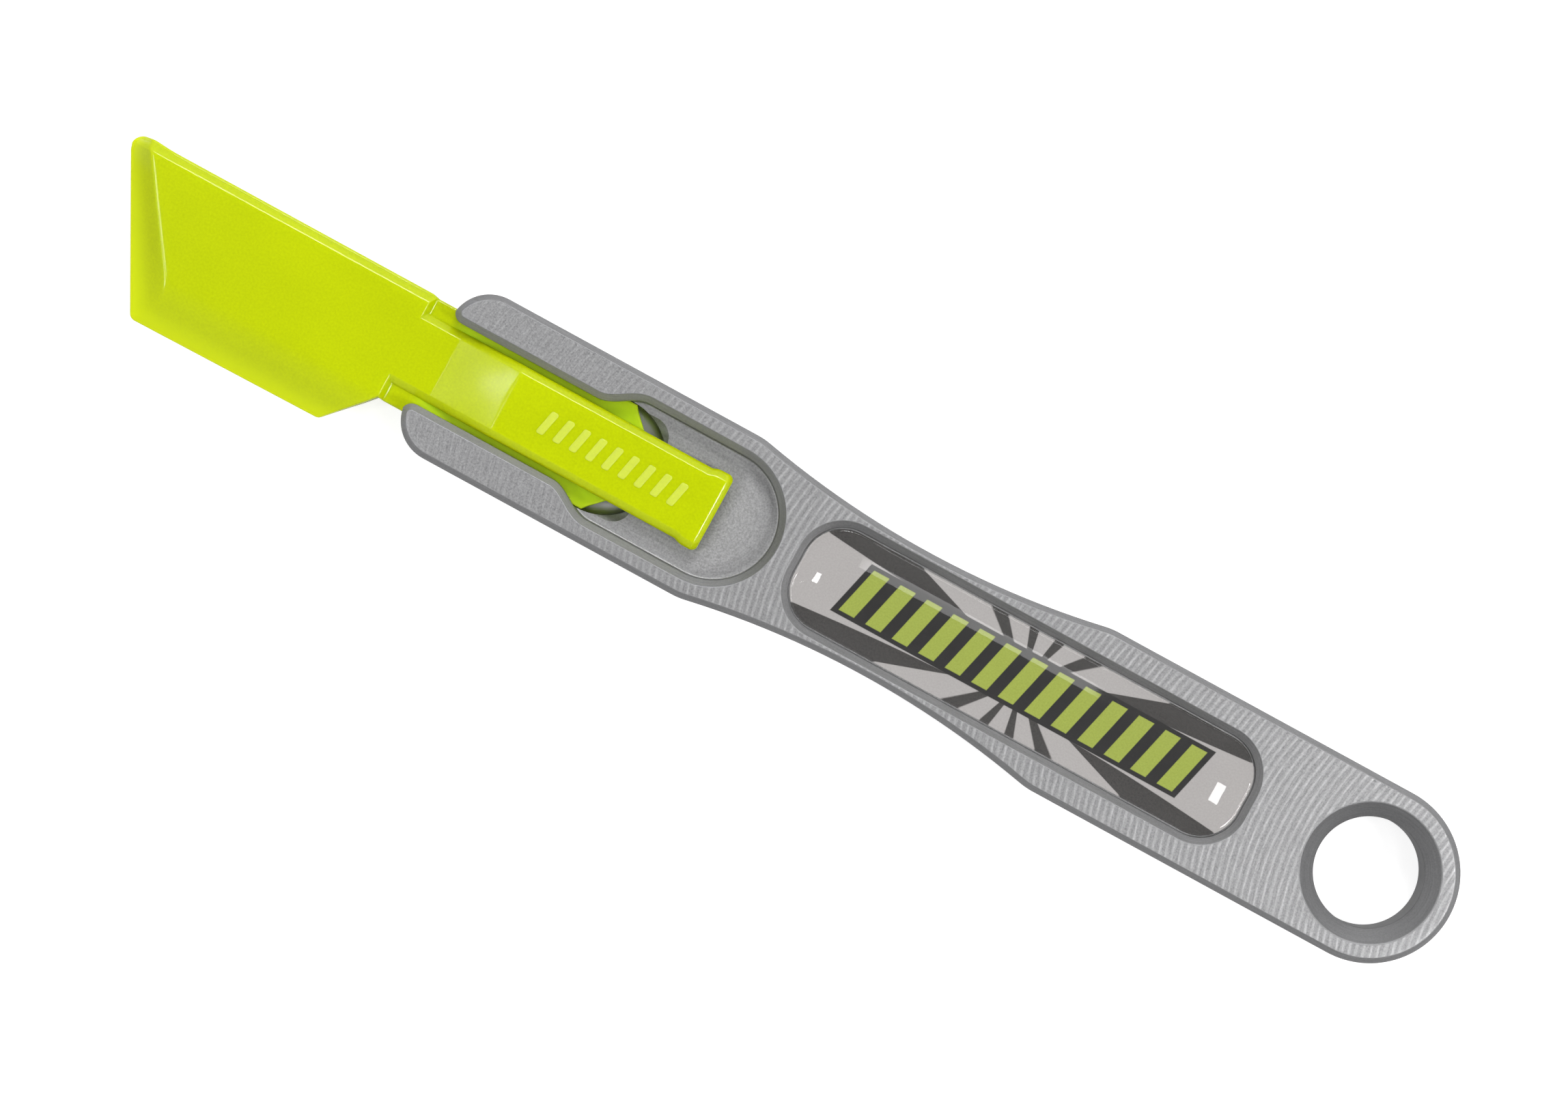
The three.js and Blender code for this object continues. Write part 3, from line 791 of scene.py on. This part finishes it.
def fly_cut_aluminium():
    """Curved marks of a large face cutter, one broken light line a turn, over blasted grain."""
    g = Graph("fly_cut_aluminium")
    x, y, z = g.xyz()
    off = g.math("SUBTRACT", y, CUTTER_Y)
    sag = g.math("SQRT", g.math("SUBTRACT", CUTTER_R**2, g.math("MULTIPLY", off, off)))
    along = g.math("SUBTRACT", g.math("ADD", x, sag), CUTTER_R)
    wander = g.noise(g.vector(g.math("MULTIPLY", along, 0.35), g.math("MULTIPLY", y, 0.05), 0), 1.0, 2)
    turn = g.math("MULTIPLY_ADD", along, 1 / CUTTER_PITCH, g.math("MULTIPLY", wander, 0.4))
    wave = g.math("MULTIPLY_ADD", g.math("SINE", g.math("MULTIPLY", turn, 2 * math.pi)), 0.5, 0.5)
    ridge = g.math("POWER", wave, 2.2)
    broken = g.noise(g.vector(g.math("MULTIPLY", along, 1.1), g.math("MULTIPLY", y, 0.3), 3), 1.0, 3, 0.6)
    fine = g.noise(g.vector(g.math("MULTIPLY", along, 4.5), g.math("MULTIPLY", y, 0.5), 7), 1.0, 3, 0.6)
    grain = g.noise(g.vector(x, y, z), 3.6, 3, 0.75)
    strength = g.span(x, -40, 5, 0.25, 1.0, True)
    line = g.math("MULTIPLY", g.math("MULTIPLY", ridge, g.span(broken, 0.25, 0.6, 0.25, 1.0)), strength)
    level = g.math("MULTIPLY", line, 0.36)
    level = g.math("MULTIPLY_ADD", g.math("SUBTRACT", fine, 0.5), 0.55, level)
    level = g.math("MULTIPLY_ADD", g.math("SUBTRACT", grain, 0.5), 0.9, level)
    colour = g.tint(g.span(level, -0.25, 0.75), FACE_GREYS)
    rough = g.span(grain, 0.3, 0.7, 0.36, 0.46)
    g.principled(
        Base_Color=colour,
        Metallic=1.0,
        Roughness=rough,
        Normal=g.bump(level, 0.3, 0.00004),
    )
    return g.material


def milled_wall_painted_shade_aluminium():
    """Milled walls and chamfers with fine lines along the cut, painted darker and, in the fork, cooler
    and lighter.
    """
    g = Graph("milled_wall_painted_shade_aluminium")
    x, y, z = g.xyz()
    flat_x, flat_y = g.math("MULTIPLY", x, 0.15), g.math("MULTIPLY", y, 0.15)
    lines = g.noise(g.vector(flat_x, flat_y, g.math("MULTIPLY", z, 6)), 1.0, 3, 0.6)
    grain = g.noise(g.vector(x, y, z), 4.0, 3, 0.75)
    level = g.math("MULTIPLY_ADD", lines, 0.4, g.math("MULTIPLY", grain, 0.6))
    share = g.span(level, 0.35, 0.65)
    # Painted shade and reflection: the walls' greys are darker than the faces' for the dim surroundings
    # they mirror, and inside the fork cooler and lighter against the lime they mirror.
    in_fork = g.math("MULTIPLY", g.span(x, -2, -4), g.span(g.math("ABSOLUTE", y), 9.8, 9.6))
    colour = g.mix(in_fork, g.tint(share, WALL_GREYS), g.tint(share, FORK_WALL_GREYS))
    g.principled(
        Base_Color=colour,
        Metallic=1.0,
        Roughness=g.span(grain, 0.3, 0.7, 0.56, 0.64),
        Normal=g.bump(level, 0.25, 0.00003),
    )
    return g.material


def pocket_floor_aluminium():
    """Pocket floors: matte end-mill swirls round the recess's end, and lower floors painted lighter
    against the shade in them.
    """
    g = Graph("pocket_floor_aluminium")
    x, y, z = g.xyz()
    dx = g.math("MINIMUM", g.math("SUBTRACT", RECESS_END_X, x), 0.0)
    r = g.math("SQRT", g.math("MULTIPLY_ADD", dx, dx, g.math("MULTIPLY", y, y)))
    swirl = g.noise(g.vector(g.math("MULTIPLY", r, 3.4), g.math("MULTIPLY", x, 0.12), 0), 1.0, 3, 0.6)
    grain = g.noise(g.vector(x, y, z), 3.6, 4, 0.75)
    level = g.math("MULTIPLY_ADD", swirl, 0.25, g.math("MULTIPLY", grain, 0.75))
    colour = g.tint(g.span(level, 0.35, 0.65), FLOOR_GREYS)
    # Painted light: the slot's and relief's floors, lower than the recess, are painted a lighter grey
    # against the shade that falls in them.
    painted_light_share = g.span(z, RECESS_FLOOR_Z - 0.05, RECESS_FLOOR_Z - 0.7)
    colour = g.mix(painted_light_share, colour, linear(FLOOR_PAINTED_LIGHT_GREY))
    g.principled(
        Base_Color=colour,
        Metallic=1.0,
        Roughness=g.span(grain, 0.3, 0.7, 0.46, 0.56),
        Normal=g.bump(level, 0.3, 0.00004),
    )
    return g.material


def lime_plastic():
    """Glossy moulded plastic with faint flow marks and grain, and painted light: a glow on its thin
    edges, lighter rails in shade.
    """
    g = Graph("lime_plastic")
    x, y, z = g.xyz(REST_PLACE)
    # Painted glow: the blade's thin edges are painted a lighter lime, standing in for light shining
    # through them.
    thin = g.span(z, SPINE_Z - 0.6, THIN_EDGE_Z, 0, 1, True)
    blade_only = g.span(x, SHOULDER_X - 1, SHOULDER_X - 4, 0, 1, True)
    thin = g.math("MULTIPLY", thin, blade_only)
    flow = g.noise(g.vector(g.math("MULTIPLY", x, 0.05), g.math("MULTIPLY", y, 0.09), z), 1.0, 2)
    grain = g.noise(g.vector(x, y, z), 3.0, 4, 0.7)
    level = g.math("MULTIPLY_ADD", flow, 0.3, g.math("MULTIPLY", grain, 0.7))
    base = g.tint(g.span(level, 0.35, 0.65), LIMES)
    colour = g.mix(thin, base, linear(EDGE_GLOW_LIME))
    # Painted light: the rails, low in shade between the lips, are painted a lighter, greener lime.
    shade = g.span(z, RAIL_Z + 0.3, RAIL_Z, 0, 1, True)
    shade = g.math("MULTIPLY", shade, g.span(x, FRONT_X - 0.5, FRONT_X + 3, 0, 0.6, True))
    colour = g.mix(shade, colour, linear(SHADED_LIME))
    rib = g.span(z, CLIP_TOP_Z + 0.3 * RIB_HEIGHT, CLIP_TOP_Z + 0.8 * RIB_HEIGHT)
    colour = g.mix(g.math("MULTIPLY", rib, 0.38), colour, linear(RIB_LIME))
    rough = g.span(grain, 0.3, 0.7, 0.1, 0.16)
    g.principled(
        Base_Color=colour,
        Roughness=g.math("MULTIPLY_ADD", rib, 0.25, rough),
        Specular_IOR_Level=0.32,
        Subsurface_Weight=0.5,
        Subsurface_Radius=(1.0, 1.0, 0.1),
        Subsurface_Scale=0.0025,
        Normal=g.bump(grain, 0.06, 0.00003),
    )
    return g.material


def transfer_tape():
    """Pale adhesive film, seen only at its edge."""
    g = Graph("transfer_tape")
    x, y, z = g.xyz()
    grain = g.noise(g.vector(x, y, z), 2.0, 3)
    colour = g.tint(grain, TAPE_CREAMS)
    g.principled(
        Base_Color=colour,
        Roughness=g.span(grain, 0.3, 0.7, 0.5, 0.7),
        Normal=g.bump(grain, 0.2, 0.00002),
    )
    return g.material


def printed_film():
    """Warm grey film with charcoal wedges and rays, and a plain row of slanted lime bars."""
    g = Graph("printed_film")
    x, y, z = g.xyz()
    u = g.math("SUBTRACT", x, LABEL_MID_X)
    side = g.math("ABSOLUTE", u)
    away = g.math("ABSOLUTE", y)

    inner = g.math("MULTIPLY_ADD", g.math("MULTIPLY", side, side), WEDGE_BOW, WEDGE_BASE)
    outer = g.math("MULTIPLY_ADD", side, WEDGE_SLOPE, WEDGE_SPREAD)
    past_inner = g.above(g.math("SUBTRACT", away, inner))
    wedge = g.math("MULTIPLY", past_inner, g.above(g.math("SUBTRACT", outer, away)))

    angle = g.math("ARCTAN2", u, away)
    spoke = g.math("COSINE", g.math("MULTIPLY", angle, RAY_COUNT))
    ray = g.above(g.math("SUBTRACT", -RAY_WIDTH, spoke), 0.12)
    fan = g.above(g.math("SUBTRACT", FAN_HALF_ANGLE, g.math("ABSOLUTE", angle)), 0.01)
    dark = g.math("MAXIMUM", wedge, g.math("MULTIPLY", ray, fan))

    slanted = g.math("SUBTRACT", u, g.math("MULTIPLY", y, BAR_SLANT))
    cell = g.math("PINGPONG", g.math("ADD", slanted, BAR_PITCH / 2), BAR_PITCH / 2)
    from_bar = g.math("SUBTRACT", BAR_PITCH / 2, cell)
    inside = g.math("SUBTRACT", ROW_HALF_LENGTH, g.math("ABSOLUTE", slanted))
    above, below = g.math("SUBTRACT", BAR_TOP, y), g.math("SUBTRACT", y, BAR_LOW)
    height = g.math("MINIMUM", above, below)
    lime = g.math("MINIMUM", g.math("SUBTRACT", BAR_HALF, from_bar), g.math("MINIMUM", height, inside))
    band = g.math("MINIMUM", g.math("ADD", height, BAR_OUTLINE), inside)

    speck = g.span(g.noise(g.vector(x, y, 0), 4.0, 3, 0.7), 0.3, 0.7)
    colour = g.mix(dark, g.tint(speck, FILM_GREYS), g.tint(speck, FILM_CHARCOALS))
    colour = g.mix(g.above(band), colour, linear(FILM_BLACK))
    colour = g.mix(g.above(lime), colour, g.tint(speck, BAR_LIMES))
    g.principled(Base_Color=colour, Roughness=g.span(speck, 0.3, 0.7, 0.4, 0.5))
    return g.material


def clear_resin():
    """Clear glossy resin. Only its outer skin bends and mirrors light; the print lights as if bare."""
    g = Graph("clear_resin")
    x, y, z = g.xyz()
    ripple = g.noise(g.vector(x, y, 0), 0.05, 1)
    glass = g.principled(
        Base_Color=(0.97, 0.97, 0.965, 1),
        Roughness=0.03,
        IOR=1.5,
        Transmission_Weight=1.0,
        Normal=g.bump(ripple, 0.02, 0.00003),
    )
    path = g.nodes.new("ShaderNodeLightPath")
    clear = g.nodes.new("ShaderNodeBsdfTransparent")
    surface = glass.outputs[0]
    for kind in ("Is Shadow Ray", "Is Diffuse Ray", "Is Glossy Ray", "Is Transmission Ray"):
        mixed = g.nodes.new("ShaderNodeMixShader")
        g.links.new(path.outputs[kind], mixed.inputs[0])
        g.links.new(surface, mixed.inputs[1])
        g.links.new(clear.outputs[0], mixed.inputs[2])
        surface = mixed.outputs[0]
    g.links.new(surface, g.output.inputs[0])
    return g.material


def pale_floor():
    """A matte white floor that shows as plain white to the camera."""
    g = Graph("pale_floor")
    x, y, z = g.xyz()
    speck = g.noise(g.vector(x, y, 0), 0.2, 2)
    colour = g.mix(speck, (0.5, 0.5, 0.5, 1), (0.52, 0.52, 0.52, 1))
    seen = g.nodes.new("ShaderNodeLightPath").outputs["Is Camera Ray"]
    g.principled(
        Base_Color=colour,
        Roughness=0.8,
        Emission_Color=(1, 1, 1, 1),
        Emission_Strength=g.math("MULTIPLY_ADD", seen, 0.6, 0.15),
    )
    return g.material


# ---- Stage ----


def place_camera():
    """A camera straight above the tool, turned so that the tool lies across the picture."""
    data = bpy.data.cameras.new("camera")
    data.sensor_fit = "HORIZONTAL"
    data.sensor_width = SENSOR_WIDTH
    data.lens = data.sensor_width * CAMERA_HEIGHT / FRAME_WIDTH
    camera = bpy.data.objects.new("camera", data)
    camera.location = (0, CAMERA_Y, TOP_Z * MM + CAMERA_HEIGHT)
    camera.rotation_euler = (0, 0, math.radians(TOOL_TURN))
    bpy.context.scene.collection.objects.link(camera)
    bpy.context.scene.camera = camera


def softbox(name, lean, azimuth, size, power, shift=(0, 0), distance=1.2):
    """A rectangular lamp, leaning from overhead by lean degrees and aimed at the origin.

    Azimuth is in degrees from +X, and power in watts. Shift moves the lamp and its aim together.
    """
    data = bpy.data.lights.new(name, "AREA")
    data.shape = "RECTANGLE"
    data.size, data.size_y = size
    data.energy = power
    lamp = bpy.data.objects.new(name, data)
    a, t = math.radians(azimuth), math.radians(lean)
    lamp.location = (
        distance * math.sin(t) * math.cos(a) + shift[0],
        distance * math.sin(t) * math.sin(a) + shift[1],
        distance * math.cos(t),
    )
    lamp.rotation_euler = (Vector(lamp.location) - Vector((*shift, 0))).to_track_quat("Z", "Y").to_euler()
    bpy.context.scene.collection.objects.link(lamp)


def build_world():
    """A soft studio: dim overhead and along X, brightest part way down and to the back."""
    world = bpy.data.worlds.new("studio")
    world.use_nodes = True
    nodes, links = world.node_tree.nodes, world.node_tree.links
    nodes.clear()
    out = nodes.new("ShaderNodeOutputWorld")
    background = nodes.new("ShaderNodeBackground")
    place = nodes.new("ShaderNodeTexCoord").outputs["Generated"]
    split = nodes.new("ShaderNodeSeparateXYZ")
    ramp = nodes.new("ShaderNodeValToRGB")
    while len(ramp.color_ramp.elements) < len(SKY):
        ramp.color_ramp.elements.new(0.5)
    for element, (position, level) in zip(ramp.color_ramp.elements, SKY):
        element.position = position
        element.color = (level, level, level, 1)
    ends = nodes.new("ShaderNodeMath")
    ends.operation = "ABSOLUTE"
    dim = nodes.new("ShaderNodeMath")
    dim.operation = "MULTIPLY_ADD"
    dim.inputs[1].default_value, dim.inputs[2].default_value = SKY_DIM_ALONG_X, 1.0
    side = nodes.new("ShaderNodeMath")
    side.operation = "MULTIPLY_ADD"
    side.inputs[1].default_value = SKY_GAIN_ALONG_Y
    links.new(place, split.inputs[0])
    links.new(split.outputs[0], ends.inputs[0])
    links.new(ends.outputs[0], dim.inputs[0])
    links.new(split.outputs[1], side.inputs[0])
    links.new(dim.outputs[0], side.inputs[2])
    links.new(split.outputs[2], ramp.inputs[0])
    links.new(ramp.outputs[0], background.inputs[0])
    links.new(side.outputs[0], background.inputs[1])
    links.new(background.outputs[0], out.inputs[0])
    bpy.context.scene.world = world


def build_stage():
    """Floor, softboxes and world. Each narrow softbox gives one glint of the photographed tool."""
    bm = bmesh.new()
    bmesh.ops.create_grid(bm, x_segments=1, y_segments=1, size=FLOOR_HALF)
    floor = new_object("floor", bm)
    floor.data.materials.append(pale_floor())
    softbox("softbox_side", 16.7, 90, (0.115, 0.135), 0.16, shift=(0.08, 0))
    softbox("softbox_left", 17.2, 180, (0.3, 0.15), 2.6, shift=(0, -0.19), distance=3)
    softbox("softbox_right", 23.6, 0, (0.24, 0.12), 1.25, shift=(0, -0.04))
    softbox("softbox_back", 42, 90, (0.9, 0.12), 1.0)
    softbox("softbox_back_left", 34, 90, (0.3, 0.3), 4.4, shift=(-0.165, 0))
    softbox("softbox_front_left", 33, 215, (0.25, 0.18), 2.0)
    softbox("softbox_ramp", 34, 180, (0.2, 0.25), 0.2)
    softbox("softbox_ramp_glint", 32.6, 177, (0.07, 0.06), 0.16)
    softbox("softbox_low_right", 43, 0, (0.14, 0.25), 4.2)
    build_world()
    bpy.context.scene.view_settings.view_transform = "Standard"


# ---- Assembly ----


def main():
    """The stage, then the five pieces and the nodes they replace; the handle and the label ride the
    handle's body.
    """
    place_camera()
    build_stage()

    handle = build_handle()
    for material in (fly_cut_aluminium(), milled_wall_painted_shade_aluminium(), pocket_floor_aluminium()):
        handle.data.materials.append(material)
    sort_handle_faces(handle)
    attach(handle, "handle")
    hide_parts("handle_body")

    moulding = build_moulding()
    moulding.data.materials.append(lime_plastic())
    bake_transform(moulding)
    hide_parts("blade_insert", "spring_clip")

    tape = label_sheet("label_tape", TAPE_Z, FILM_Z)
    film = label_sheet("label_print", FILM_Z, DOME_Z)
    dome = build_dome()
    layers = [
        (tape, transfer_tape(), "label_adhesive", "label_adhesive"),
        (film, printed_film(), "label_film", "label_print"),
        (dome, clear_resin(), "label_dome", "label_resin"),
    ]
    for piece, material, node, slot in layers:
        piece.data.materials.append(material)
        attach(piece, "handle")
        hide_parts(node)


main()
